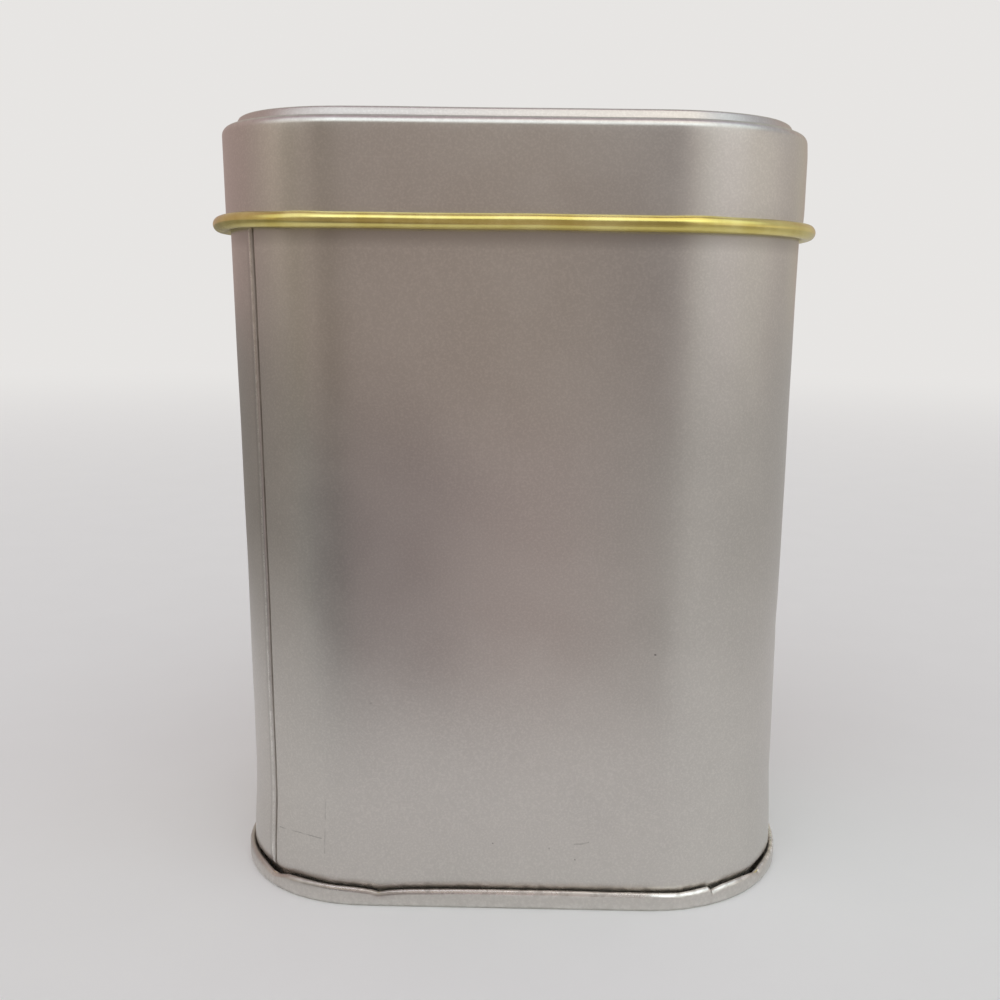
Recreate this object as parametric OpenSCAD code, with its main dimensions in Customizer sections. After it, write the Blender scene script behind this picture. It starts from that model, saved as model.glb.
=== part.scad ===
// Slip-lid spice tin: a lock-seamed tinplate wall, a seamed-on base and a drawn lid with a rolled edge.
// Every piece is one sheet of tinplate, drawn as a path of straight runs and bends and swept round the tin's plan.
// Frame: millimetres, +Z up, origin on the surface the tin stands on, under the middle. The front face is at -Y.

/* [Tin] */
// Width of the wall, left to right
body_w = 76; // [64:1:100]
// Depth of the wall, front to back
body_d = 50; // [44:1:76]
// Height of the closed tin
tin_h = 103.35; // [70:0.05:140]
// Outer radius of the wall's four corners
corner_r = 18; // [12:0.5:20]
// Thickness of the tinplate
sheet = 0.23; // [0.2:0.01:0.25]

/* [Lid] */
// Height of the rolled edge's middle above the table
roll_z = 90; // [60:0.5:95]
// Outer diameter of the rolled edge
roll_d = 1.95; // [1.8:0.05:2.4]
// Clearance between the wall and the inside of the lid
lid_gap = 0.32; // [0.3:0.01:0.4]
// Outer radius of the shoulder between the lid's skirt and its ledge
shoulder_r = 1.3; // [1.3:0.05:1.8]
// Height of the raised panel above the ledge
panel_step = 1.2; // [1.1:0.05:1.6]
// Distance from the wall's face in to the edge of the raised panel
panel_inset = 2; // [2:0.1:5]

/* [Base seam] */
// Height of the seam rim
seam_h = 2.75; // [2.6:0.05:3]
// How far the seam rim stands out from the wall
seam_out = 1.56; // [1.5:0.02:1.7]
// Height of the base panel's top above the table
base_z = 2.25; // [2.1:0.05:2.3]

/* [Side seam] */
// Place of the seam on the left front corner, measured round from the left side
seam_angle = 46.5; // [30:0.5:60]
// Length of the two interlocked hooks
hook_len = 2.2; // [1.6:0.1:3]

/* [Hidden] */
$fn = 96;
silver = [0.66, 0.64, 0.61];
gold = [0.72, 0.66, 0.34];
half_sheet = sheet / 2;
right_angle = 90;
bend_step = 15;                                 // degrees of bend between two points of a profile

// Mouth of the wall: an inward roll that ends just under the lid's ledge
mouth_bend = 0.55;                              // radius of the roll, to the middle of the sheet
seat_gap = 0.05;                                // between the roll and the ledge
ledge_top = tin_h - panel_step;
mouth_z = ledge_top - sheet - seat_gap - mouth_bend - half_sheet;

// Base seam: from outside in, the layers are the rim, the wall's hook, the base's hook and the wall
flange_z = sheet + half_sheet;                  // the wall's flange rests on the base's rim
flange_bend = 0.35;
fold_r = 0.455;                                 // the fold over the wall's hook
rim_bend = 0.45;
countersink_gap = 0.07;
rim_x = seam_out - half_sheet;
wall_hook_x = rim_x - fold_r;
countersink_x = -sheet - countersink_gap - half_sheet;
panel_bend = 0.4;
panel_overlap = 3;                              // width of base or lid panel drawn with the swept profile
wall_hook_top = seam_h - 0.8;
base_hook_bottom = 0.98;

// Lid: the skirt ends in the rolled edge, whose visible side is the sheet's inner face
skirt_x = lid_gap + half_sheet;
roll_bend = (roll_d - sheet) / 2;
roll_turn = 315;
step_turn = 62;                                 // slope of the step up to the raised panel
step_bend = 0.42;
shoulder_bend = shoulder_r - half_sheet;

// Side seam: four layers, with a hair of space between them
layer_gap = 0.03;
layer = sheet + layer_gap;
seam_reach = hook_len + 1.2;                    // half-length of wall that the seam's own outline replaces
seam_step = 1;                                  // longest straight run in the seam's bent outline
seam_join = 0.3;                                // how far the seam's sheets run into the wall's
seam_thin = 0.015;                              // taken off each face of the seam's sheets to fit inside the wall's
seam_z = [3, mouth_z - 1.5];
notch = 0.1;                                    // left open above and below the seam, where the folds begin
groove = 0.22;                                  // opening between the seam's fold and the front sheet
jog_turn = 70;                                  // slope of the front sheet's jog down to the inner layer
jog_bend = 0.2;

// Points and headings, [x, y, heading], along a path of [run, turn, bend radius] steps
function bend_points(p, turn, r) =
    let(n = max(1, ceil(abs(turn) / bend_step)), side = sign(turn),
        c = [p.x - side * r * sin(p[2]), p.y + side * r * cos(p[2])])
    [for (k = [1 : n])
        let(h = p[2] + turn * k / n)
        [c.x + side * r * sin(h), c.y - side * r * cos(h), h]];

function path(p, steps, i = 0) =
    i == len(steps) ? [p] :
    let(run = steps[i][0],
        q = [p.x + run * cos(p[2]), p.y + run * sin(p[2]), p[2]],
        bend = steps[i][1] == 0 ? [] : bend_points(q, steps[i][1], steps[i][2]),
        end = len(bend) > 0 ? bend[len(bend) - 1] : q)
    concat(run > 0 ? [p, q] : [p],
           len(bend) > 1 ? [for (k = [0 : len(bend) - 2]) bend[k]] : [],
           path(end, steps, i + 1));

// Both faces of a sheet that follows a path
function faces(points, half = half_sheet) = concat(
    [for (p = points) [p.x - half * sin(p[2]), p.y + half * cos(p[2])]],
    [for (i = [len(points) - 1 : -1 : 0])
        let(p = points[i]) [p.x + half * sin(p[2]), p.y - half * cos(p[2])]]);

// Length of a jog's slope that moves a sheet sideways by rise
function jog_run(rise, turn, r) = (rise - 2 * r * (1 - cos(turn))) / sin(turn);

// A profile, with x outward from the wall's face and y up, swept round the four sides and corners
module around_tin() {
    for (side = [0 : 3]) {
        along_x = side % 2 == 1;
        face = (along_x ? body_d : body_w) / 2;
        span = (along_x ? body_w : body_d) / 2 - corner_r;
        rotate(side * right_angle) {
            translate([face, span, 0]) rotate([right_angle, 0, 0]) linear_extrude(2 * span) children();
            translate([face - corner_r, span, 0])
                rotate_extrude(angle = right_angle) translate([corner_r, 0]) children();
        }
    }
}

// A flat panel of sheet that fills the plan inside a swept profile
module panel(inset, top) {
    w = body_w - 2 * inset;
    d = body_d - 2 * inset;
    r = corner_r - inset;
    translate([0, 0, top - sheet]) linear_extrude(sheet) {
        square([w, d - 2 * r], center = true);
        square([w - 2 * r, d], center = true);
        for (x = [-1, 1], y = [-1, 1])
            translate([x * (w / 2 - r), y * (d / 2 - r)]) circle(r);
    }
}

module wall_profile() {
    down = mouth_z - flange_z - flange_bend;
    polygon(faces(path([-half_sheet - mouth_bend, mouth_z - mouth_bend, 2 * right_angle], [
        [0, -3 * right_angle, mouth_bend],
        [down, right_angle, flange_bend],
        [wall_hook_x + half_sheet - 2 * flange_bend, right_angle, flange_bend],
        [wall_hook_top - flange_z - flange_bend, 0, 0]])));
}

module base_profile() {
    start = -panel_overlap;
    middle = base_z - half_sheet;
    polygon(faces(path([start, middle, 0], [
        [countersink_x - panel_bend - start, -right_angle, panel_bend],
        [middle - panel_bend - half_sheet - flange_bend, right_angle, flange_bend],
        [rim_x - rim_bend - countersink_x - flange_bend, right_angle, rim_bend],
        [seam_h - fold_r - sheet - rim_bend, 2 * right_angle, fold_r],
        [seam_h - fold_r - half_sheet - base_hook_bottom, 0, 0]])));
}

module lid_profile() {
    slope = jog_run(panel_step, step_turn, step_bend);
    start = -panel_inset - panel_overlap;
    edge = -panel_inset;
    ledge_start = edge + 2 * step_bend * sin(step_turn) + slope * cos(step_turn);
    polygon(faces(path([start, tin_h - half_sheet, 0], [
        [panel_overlap, -step_turn, step_bend],
        [slope, step_turn, step_bend],
        [skirt_x - shoulder_bend - ledge_start, -right_angle, shoulder_bend],
        [ledge_top - half_sheet - shoulder_bend - roll_z, 0, 0]])));
}

module roll_profile() {
    polygon(faces(path([skirt_x, roll_z, -right_angle], [[0, roll_turn, roll_bend]])));
}

// The seam's outline is worked out flat, x along the wall towards the front and y inward, then bent round the corner
function split_runs(points) = [for (i = [0 : len(points) - 1])
    let(p = points[i], q = points[(i + 1) % len(points)], n = max(1, ceil(norm(q - p) / seam_step)))
    for (k = [0 : n - 1]) p + (q - p) * k / n];

function on_corner(points) = [for (p = split_runs(points))
    let(a = seam_angle + p.x / corner_r * 180 / PI) -(corner_r - p.y) * [cos(a), sin(a)]];

module seam_outline() {
    jog = 3 * layer;
    jog_slope = jog_run(jog, jog_turn, jog_bend);
    jog_width = 2 * jog_bend * sin(jog_turn) + jog_slope * cos(jog_turn);
    fold_end = layer + half_sheet;
    outer_hook = path([-seam_reach, half_sheet, 0], [
        [seam_reach - fold_end, 2 * right_angle, layer],
        [hook_len, 0, 0]]);
    inner_hook = path([seam_reach, half_sheet, 2 * right_angle], [
        [seam_reach - groove - jog_bend, -jog_turn, jog_bend],
        [jog_slope, jog_turn, jog_bend],
        [hook_len + groove + jog_bend + fold_end + layer - jog_width, -2 * right_angle, layer],
        [hook_len, 0, 0]]);
    for (hook = [outer_hook, inner_hook]) polygon(on_corner(faces(hook, half_sheet - seam_thin)));
}

module body_wall() {
    seam_span = (seam_reach - seam_join) / corner_r * 180 / PI;
    color(silver) {
        difference() {
            around_tin() wall_profile();
            translate([corner_r - body_w / 2, corner_r - body_d / 2, seam_z[0]])
                rotate(2 * right_angle + seam_angle - seam_span)
                    rotate_extrude(angle = 2 * seam_span)
                        translate([corner_r - 1, 0]) square([2, seam_z[1] - seam_z[0]]);
        }
        translate([corner_r - body_w / 2, corner_r - body_d / 2, seam_z[0] + notch])
            linear_extrude(seam_z[1] - seam_z[0] - 2 * notch) seam_outline();
    }
}

module base_end() {
    color(silver) {
        around_tin() base_profile();
        panel(panel_overlap, base_z);
    }
}

module lid_cover() {
    color(silver) {
        around_tin() lid_profile();
        panel(panel_inset + panel_overlap, tin_h);
    }
}

module lid_rolled_edge() {
    color(gold) around_tin() roll_profile();
}

body_wall();
base_end();
lid_cover();
lid_rolled_edge();
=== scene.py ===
"""Slip-lid spice tin in satin tinplate, with a gold-lacquered inside and rolled lid edge.

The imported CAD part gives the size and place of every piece. Each piece is one sheet of tinplate: a path of
straight runs and bends that is swept round the tin's rounded-rectangle plan, then given the small faults that
rolling, curling and seaming leave in it.
"""

import math

import bmesh
import bpy
import numpy as np
from mathutils import Matrix, Vector, kdtree


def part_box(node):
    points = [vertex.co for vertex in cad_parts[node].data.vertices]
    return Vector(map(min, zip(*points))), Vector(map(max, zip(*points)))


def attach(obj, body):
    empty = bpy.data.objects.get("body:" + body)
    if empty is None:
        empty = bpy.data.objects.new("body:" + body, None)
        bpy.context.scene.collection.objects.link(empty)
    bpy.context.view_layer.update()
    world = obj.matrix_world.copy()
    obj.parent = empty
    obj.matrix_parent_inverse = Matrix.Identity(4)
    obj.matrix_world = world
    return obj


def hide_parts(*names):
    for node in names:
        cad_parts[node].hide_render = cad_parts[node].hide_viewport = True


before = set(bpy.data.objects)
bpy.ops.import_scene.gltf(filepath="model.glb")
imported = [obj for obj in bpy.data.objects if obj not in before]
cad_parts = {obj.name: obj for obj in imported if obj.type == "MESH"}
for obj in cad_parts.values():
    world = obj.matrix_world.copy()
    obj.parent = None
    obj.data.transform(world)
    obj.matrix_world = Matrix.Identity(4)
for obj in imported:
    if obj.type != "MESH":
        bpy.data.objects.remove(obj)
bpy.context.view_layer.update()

bl_info = {
    "name": "Spice tin",
    "version": (1, 0, 0),
    "blender": (4, 5, 0),
    "location": "View3D > Sidebar > Spice tin",
    "description": "Builds a slip-lid tinplate tin: seamed wall, seamed-on base, drawn lid and rolled edge",
    "category": "Object",
}

MM = 0.001

# Fixed facts of the sheet-metal profiles, in millimetres; the radii of bends are to the middle of the sheet
LID_GAP = 0.32  # between the wall and the lid's skirt
SHEET = 0.23
HALF = SHEET / 2
MOUTH_BEND = 0.55
SEAT_GAP = 0.05  # between the wall's rolled mouth and the lid's ledge
SHOULDER_BEND = 1.1 - HALF
STEP_BEND = 0.42
STEP_TURN = 62
FLANGE_BEND = 0.35
FOLD_BEND = 0.455
RIM_BEND = 0.45
COUNTERSINK_GAP = 0.07
PANEL_BEND = 0.4
PANEL_OVERLAP = 3
SEAM_OUT = 1.56
SEAM_LEAN = 0.4  # how far the side seam leans towards the front over its height
CORNER_EASE = 3.2  # half the length over which each corner's bend fades in from the flat
BEND_STEP = math.radians(9)
PAINTED_LIGHT_FULL = 2.4  # a strength of brightening that leaves few gaps in its noise, for the painted light on the wall's foot and the painted highlight on the seam rim's fold
SHARP_ANGLE = math.radians(48)  # edges bent more sharply than this are shaded as creases
WELD = 1e-7  # vertices nearer than this, in metres, are one
WALL, BASE, LID, ROLL = "body_wall", "base_end", "lid_cover", "lid_rolled_edge"


def box_mm(node):
    """A node's lowest and highest corners, in millimetres."""
    low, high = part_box(node)
    return np.array(low) / MM, np.array(high) / MM


LID_LOW, LID_HIGH = box_mm(LID)
ROLL_LOW, ROLL_HIGH = box_mm(ROLL)
BASE_HIGH = box_mm(BASE)[1]
SKIRT_OUT = LID_GAP + SHEET


# ---------------------------------------------------------------- sizes and colours a user can change


def length(name, description, default, low, high):
    """A length that the user can change, in metres."""
    return bpy.props.FloatProperty(
        name=name, description=description, default=float(default), min=low, max=high,
        unit="LENGTH", subtype="DISTANCE",
    )


def colour_choice(name, description, default):
    """A colour that the user can change."""
    return bpy.props.FloatVectorProperty(
        name=name, description=description, subtype="COLOR", size=3, default=default, min=0, max=1,
    )


class TinSizes(bpy.types.PropertyGroup):
    """Sizes of the tin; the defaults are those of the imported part."""

    body_w: length(
        "Wall width", "Width of the wall, left to right",
        float(LID_HIGH[0] - LID_LOW[0] - 2 * SKIRT_OUT) * MM, 0.06, 0.1,
    )
    body_d: length(
        "Wall depth", "Depth of the wall, front to back",
        float(LID_HIGH[1] - LID_LOW[1] - 2 * SKIRT_OUT) * MM, 0.04, 0.08,
    )
    corner_r: length("Corner radius", "Outer radius of the wall's four corners", 18 * MM, 0.012, 0.022)
    tin_h: length("Height", "Height of the closed tin", float(LID_HIGH[2]) * MM, 0.07, 0.14)
    roll_z: length(
        "Rolled edge height", "Height of the rolled edge's middle above the table",
        float(LID_LOW[2]) * MM, 0.05, 0.12,
    )
    roll_d: length(
        "Rolled edge thickness", "Outer diameter of the lid's rolled edge",
        float(ROLL_HIGH[2] - ROLL_LOW[2]) * MM, 0.0015, 0.003,
    )
    panel_step: length("Panel step", "Height of the lid's raised panel above its ledge", 1.2 * MM, 0.001, 0.002)
    panel_inset: length(
        "Panel inset", "Distance from the wall's face in to the edge of the raised panel", 2 * MM, 0.002, 0.006,
    )
    seam_h: length(
        "Base seam height", "Height of the seam rim round the base", float(BASE_HIGH[2]) * MM, 0.002, 0.0035,
    )
    seam_place: bpy.props.FloatProperty(
        name="Side seam place",
        description="Place of the side seam, round the front left corner from the left side",
        default=math.radians(46.5), min=math.radians(30), max=math.radians(60), subtype="ANGLE",
    )


class TinColours(bpy.types.PropertyGroup):
    """Colours and finishes of the tin and its stage."""

    tinplate: colour_choice("Tinplate", "Colour of the satin tinplate", (0.61, 0.585, 0.55))
    lacquer: colour_choice("Lacquer", "Colour of the gold lacquer on the sheet's inner side", (0.8, 0.7, 0.27))
    tinplate_roughness: bpy.props.FloatProperty(
        name="Tinplate roughness", description="How softly the tinplate reflects", default=0.31, min=0.05, max=0.9,
        subtype="FACTOR",
    )
    floor: colour_choice("Floor", "Colour of the floor", (0.88, 0.875, 0.865))


# ---------------------------------------------------------------- sheet-metal profiles and the plan


def path(start, steps, longest_run=1.5):
    """Points [x, y, heading] along runs and bends; a step is (run, turn in degrees, bend radius), in mm."""
    x, y, heading = start[0], start[1], math.radians(start[2])
    points = [(x, y, heading)]
    for run, turn, radius in steps:
        pieces = max(1, math.ceil(run / longest_run)) if run > 0 else 0
        for k in range(1, pieces + 1):
            along = run * k / pieces
            points.append((x + along * math.cos(heading), y + along * math.sin(heading), heading))
        x, y = x + run * math.cos(heading), y + run * math.sin(heading)
        if turn:
            side = math.copysign(1, turn)
            middle = (x - side * radius * math.sin(heading), y + side * radius * math.cos(heading))
            count = max(2, math.ceil(abs(math.radians(turn)) / BEND_STEP))
            first = heading
            for k in range(1, count + 1):
                heading = first + math.radians(turn) * k / count
                x = middle[0] + side * radius * math.sin(heading)
                y = middle[1] - side * radius * math.cos(heading)
                points.append((x, y, heading))
    return np.array(points)


def sheet_faces(points):
    """The outline of a sheet along a path: its left face, then its right face backwards."""
    across = np.stack([-np.sin(points[:, 2]), np.cos(points[:, 2])], axis=1) * HALF
    return points[:, :2] + across, (points[:, :2] - across)[::-1]


def jog_run(rise, turn, radius):
    """Length of a jog's slope that moves a sheet sideways by rise."""
    return (rise - 2 * radius * (1 - math.cos(turn))) / math.sin(turn)


def smooth(value, low, high):
    """0 below low, 1 above high, and a smooth rise between."""
    t = np.clip((np.asarray(value, float) - low) / (high - low), 0, 1)
    return t * t * (3 - 2 * t)


def bump(value, centre, width):
    """A soft bump of height 1."""
    return np.exp(-(((value - centre) / width) ** 2))


class Plan:
    """The rounded rectangle that the wall's outer face follows, in mm.

    Places round it are given by s, the length along the wall from the middle of the front, positive to the right.
    """

    def __init__(self, sizes):
        self.w, self.d, self.r = sizes.body_w / MM, sizes.body_d / MM, sizes.corner_r / MM
        half_w, half_d, arc = self.w / 2 - self.r, self.d / 2 - self.r, self.r * math.pi / 2
        lengths = [half_w, arc, 2 * half_d, arc, 2 * half_w, arc, 2 * half_d, arc, half_w]
        self.ends = np.cumsum([0, *lengths])
        self.length = self.ends[-1]
        self.half_w, self.half_d = half_w, half_d

    def corner(self, angle):
        """s of a place on the right front corner, by the angle from the front."""
        return self.half_w + self.r * math.radians(angle)

    def stations(self, step, extra=()):
        """Sorted places round the plan, with each change of run or corner among them."""
        places = []
        for low, high in zip(self.ends[:-1], self.ends[1:]):
            places.extend(np.linspace(low, high, max(2, math.ceil((high - low) / step)) + 1)[:-1])
        places.extend(np.asarray(extra) % self.length)
        places = np.sort(np.array(places))
        return places[np.concatenate([[True], np.diff(places) > 1e-4])]

    def eased(self, s):
        """How far the wall lies inside a plain arc, because a rolled corner's bend fades in and out."""
        inward = np.zeros(len(s))
        for low, high in zip(self.ends[1:8:2], self.ends[2:9:2]):
            for into in (s - low, high - s):
                ramp = np.clip(into + CORNER_EASE, 0, 2 * CORNER_EASE) ** 3 / (12 * CORNER_EASE * self.r)
                arc = np.clip(into, 0, CORNER_EASE) ** 2 / (2 * self.r)
                inward += (ramp - arc) * np.cos(np.clip(into / self.r, 0, math.pi / 2))
        return inward

    def frame(self, s):
        """The point on the wall's outer face and the outward normal at each s."""
        s = np.asarray(s) % self.length
        point, normal = np.zeros((len(s), 2)), np.zeros((len(s), 2))
        runs = [
            ((0, -self.d / 2), 0),
            ((self.half_w, -self.half_d), 0), ((self.w / 2, -self.half_d), 90),
            ((self.half_w, self.half_d), 90), ((self.half_w, self.d / 2), 180),
            ((-self.half_w, self.half_d), 180), ((-self.w / 2, self.half_d), 270),
            ((-self.half_w, -self.half_d), 270), ((-self.half_w, -self.d / 2), 360),
        ]
        for k, (start, turn) in enumerate(runs):
            here = (s >= self.ends[k]) & (s < self.ends[k + 1])
            along = s[here] - self.ends[k]
            if k % 2:
                angle = math.radians(turn - 90) + along / self.r
                normal[here] = np.stack([np.cos(angle), np.sin(angle)], axis=1)
                point[here] = np.array(start) + self.r * normal[here]
            else:
                heading = math.radians(turn)
                direction = np.array([math.cos(heading), math.sin(heading)])
                point[here] = np.array(start) + along[:, None] * direction
                normal[here] = (direction[1], -direction[0])
        return point - normal * self.eased(s)[:, None], normal

    def signed(self, s):
        """s from minus half the way round to plus half."""
        return (np.asarray(s) + self.length / 2) % self.length - self.length / 2


def ripple(s, z, length, size, seed, waves=5, shortest=18):
    """Slow uneven waves over the sheet, the same each run and joining up round the plan."""
    random = np.random.RandomState(seed)
    total = np.zeros(np.broadcast(s, z).shape)
    for _ in range(waves):
        turns = random.randint(1, max(2, int(length / shortest)))
        pitch = random.uniform(shortest, 3 * shortest) * random.choice([-1, 1])
        total += np.sin(2 * math.pi * (turns * s / length + z / pitch) + random.uniform(0, 2 * math.pi))
    return total * size / waves


def grid_mesh(name, rings, closed, material_of_row, materials, caps=None):
    """A mesh from rings of points; rings[j][i] is profile point j at station i.

    closed joins the last profile point to the first. caps holds rings that close the ends towards the middle.
    """
    rows, count = len(rings), len(rings[0])
    points = list(rings)
    quads, slots = [], []

    def band(first, second, slot):
        i = np.arange(count)
        j = (i + 1) % count
        quads.append(np.stack([first + i, first + j, second + j, second + i], axis=1))
        slots.append(np.full(count, slot))

    for k in range(rows if closed else rows - 1):
        band(k * count, (k + 1) % rows * count, material_of_row[k])
    for edge_row, cap_rings, slot, flip in caps or ():
        previous = edge_row * count
        for ring in cap_rings:
            here = len(points) * count
            points.append(ring)
            band(*((here, previous) if flip else (previous, here)), slot)
            previous = here
    mesh = bpy.data.meshes.new(name)
    mesh.from_pydata((np.concatenate(points) * MM).tolist(), [], np.concatenate(quads).tolist())
    for material in materials:
        mesh.materials.append(material)
    mesh.polygons.foreach_set("material_index", np.concatenate(slots).astype(np.int32))
    work = bmesh.new()
    work.from_mesh(mesh)
    bmesh.ops.remove_doubles(work, verts=work.verts, dist=WELD)
    bmesh.ops.dissolve_degenerate(work, dist=WELD, edges=work.edges)
    bmesh.ops.recalc_face_normals(work, faces=work.faces)
    work.to_mesh(mesh)
    work.free()
    mesh.shade_smooth()
    mesh.set_sharp_from_angle(angle=SHARP_ANGLE)
    piece = bpy.data.objects.new(name, mesh)
    bpy.context.scene.collection.objects.link(piece)
    return piece


def sweep(plan, places, profile, shift):
    """Rings of points: each profile point (u outward from the wall, z) taken round the plan, moved by shift."""
    point, normal = plan.frame(places)
    rings = []
    for k, (u, z) in enumerate(profile):
        du, dz = shift(places, np.full(len(places), u), np.full(len(places), z), k)
        flat = point + normal * (u + du)[:, None]
        rings.append(np.column_stack([flat, z + dz]))
    return rings


def panel_rings(plan, ring, count, lift):
    """Rings from a profile's inner edge to the middle line of the plan, for a flat panel."""
    reach = (plan.w - plan.d) / 2
    middle = np.column_stack([np.clip(ring[:, 0], -reach, reach), ring[:, 1] * 0])
    made = []
    for k in range(1, count + 1):
        part = k / count
        flat = ring[:, :2] * (1 - part) + middle * part
        height = ring[:, 2] * (1 - part) + ring[:, 2].mean() * part
        made.append(np.column_stack([flat, height + lift(flat, part)]))
    return made


# ---------------------------------------------------------------- shader groups and materials


def add(tree, kind, inputs=None, **settings):
    """A node with its settings and inputs; an input is a value or the socket that feeds it."""
    node = tree.nodes.new(kind)
    for key, value in settings.items():
        setattr(node, key, value)
    for key, value in (inputs or {}).items():
        if isinstance(value, bpy.types.NodeSocket):
            tree.links.new(value, node.inputs[key])
        else:
            node.inputs[key].default_value = value
    return node


def maths(tree, operation, *values, clamp=False):
    """A maths node's result."""
    return add(tree, "ShaderNodeMath", dict(enumerate(values)), operation=operation, use_clamp=clamp).outputs[0]


def between(tree, value, low, high, to_low=0.0, to_high=1.0):
    """A value taken smoothly from one range to another."""
    inputs = {"Value": value, "From Min": low, "From Max": high, "To Min": to_low, "To Max": to_high}
    return add(tree, "ShaderNodeMapRange", inputs, interpolation_type="SMOOTHSTEP").outputs["Result"]


def mix(tree, factor, first, second, blend="MIX"):
    """Two colours mixed; the node's colour inputs are 6 and 7 and its colour output is 2."""
    inputs = {"Factor": factor, 6: first, 7: second}
    return add(tree, "ShaderNodeMix", inputs, data_type="RGBA", blend_type=blend).outputs[2]


def new_group(name, inputs, outputs):
    """An empty shader node group. inputs and outputs are (name, socket type, default)."""
    tree = bpy.data.node_groups.new(name, "ShaderNodeTree")
    for in_out, sockets in (("INPUT", inputs), ("OUTPUT", outputs)):
        for title, kind, default in sockets:
            socket = tree.interface.new_socket(title, in_out=in_out, socket_type=kind)
            if default is not None:
                socket.default_value = default
    return tree, add(tree, "NodeGroupInput").outputs, add(tree, "NodeGroupOutput").inputs


FLOAT, VECTOR = "NodeSocketFloat", "NodeSocketVector"


def satin_grain_group():
    """Fine uneven grain of a matt-tinned sheet, with slower cloudiness."""
    tree, given, out = new_group(
        "Satin grain",
        [("Grain size", FLOAT, 0.0003), ("Cloud size", FLOAT, 0.012)],
        [("Height", FLOAT, None), ("Cloud", FLOAT, None), ("Sparkle", FLOAT, None)],
    )
    where = add(tree, "ShaderNodeTexCoord").outputs["Object"]
    fine, slow = (
        add(tree, "ShaderNodeTexNoise", {
            "Vector": where, "Scale": maths(tree, "DIVIDE", 1.0, given[size]),
            "Detail": detail, "Roughness": rough,
        }).outputs["Fac"]
        for size, detail, rough in (("Grain size", 3.5, 0.65), ("Cloud size", 3.0, 0.6))
    )
    tree.links.new(fine, out["Height"])
    tree.links.new(slow, out["Cloud"])
    tree.links.new(between(tree, fine, 0.42, 0.68), out["Sparkle"])
    return tree


def specks_group():
    """Small dark pits, scattered and of uneven size."""
    tree, given, out = new_group(
        "Specks",
        [("Spacing", FLOAT, 0.01), ("Radius", FLOAT, 0.00012), ("Share", FLOAT, 0.3)],
        [("Mask", FLOAT, None)],
    )
    where = add(tree, "ShaderNodeTexCoord").outputs["Object"]
    cells = add(tree, "ShaderNodeTexVoronoi", {
        "Vector": where, "Scale": maths(tree, "DIVIDE", 1.0, given["Spacing"]),
    })
    pick = add(tree, "ShaderNodeSeparateColor", {"Color": cells.outputs["Color"]}).outputs
    radius = maths(tree, "MULTIPLY", given["Radius"], pick["Green"])
    reach = maths(tree, "DIVIDE", radius, given["Spacing"])
    far = maths(tree, "DIVIDE", cells.outputs["Distance"], reach)
    spot = between(tree, far, 1.3, 0.6)
    chosen = maths(tree, "LESS_THAN", pick["Red"], given["Share"])
    tree.links.new(maths(tree, "MULTIPLY", spot, chosen), out["Mask"])
    return tree


def scratch_group():
    """A thin mark along a line between two points, a little uneven along its length."""
    tree, given, out = new_group(
        "Scratch",
        [("Start", VECTOR, (0, 0, 0)), ("End", VECTOR, (0, 0, 0.01)), ("Width", FLOAT, 0.0001)],
        [("Mask", FLOAT, None)],
    )

    def vector(operation, *values):
        return add(tree, "ShaderNodeVectorMath", dict(enumerate(values)), operation=operation).outputs

    where = add(tree, "ShaderNodeTexCoord").outputs["Object"]
    line = vector("SUBTRACT", given["End"], given["Start"])[0]
    out_from = vector("SUBTRACT", where, given["Start"])[0]
    along, whole = (vector("DOT_PRODUCT", start, line)["Value"] for start in (out_from, line))
    along = maths(tree, "MINIMUM", maths(tree, "MAXIMUM", maths(tree, "DIVIDE", along, whole), 0.0), 1.0)
    scaled = add(tree, "ShaderNodeVectorMath", {0: line, "Scale": along}, operation="SCALE").outputs[0]
    gap = vector("LENGTH", vector("SUBTRACT", out_from, scaled)[0])["Value"]
    uneven = add(tree, "ShaderNodeTexNoise", {"Vector": where, "Scale": 700.0, "Detail": 1.0}).outputs["Fac"]
    far = maths(tree, "DIVIDE", gap, given["Width"])
    mask = maths(tree, "MULTIPLY", between(tree, far, 1.0, 0.3), between(tree, uneven, 0.3, 0.6))
    tree.links.new(mask, out["Mask"])
    return tree


def worn_edges_and_painted_light_group():
    """Brightening from the bend stored in the mesh, broken up by noise: worn bright where the sheet is bent or
    cut, and painted light and painted highlights where a piece stores them.
    """
    tree, given, out = new_group("Worn edges and painted light", [("Amount", FLOAT, 1.0)], [("Mask", FLOAT, None)])
    bend = add(tree, "ShaderNodeAttribute", attribute_name="bend").outputs["Fac"]
    where = add(tree, "ShaderNodeTexCoord").outputs["Object"]
    uneven = add(tree, "ShaderNodeTexNoise", {"Vector": where, "Scale": 900.0, "Detail": 4.0}).outputs["Fac"]
    worn = maths(tree, "MULTIPLY", bend, between(tree, uneven, 0.35, 0.7))
    tree.links.new(maths(tree, "MULTIPLY", worn, given["Amount"], clamp=True), out["Mask"])
    return tree


GROUP_MAKERS = {
    "Satin grain": satin_grain_group,
    "Specks": specks_group,
    "Scratch": scratch_group,
    "Worn edges and painted light": worn_edges_and_painted_light_group,
}


def effect(tree, name, **values):
    """Places a shared effect group in a material, with its own values."""
    group = bpy.data.node_groups.get(name) or GROUP_MAKERS[name]()
    node = add(tree, "ShaderNodeGroup", node_tree=group)
    for key, value in values.items():
        node.inputs[key.replace("_", " ").capitalize()].default_value = value
    return node.outputs


WORN_AND_LIT_TIN = (0.93, 0.91, 0.87, 1)  # tinplate made bright where the mesh stores bend: worn bright at bends, and painted light and painted highlights at the seam rim
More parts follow.
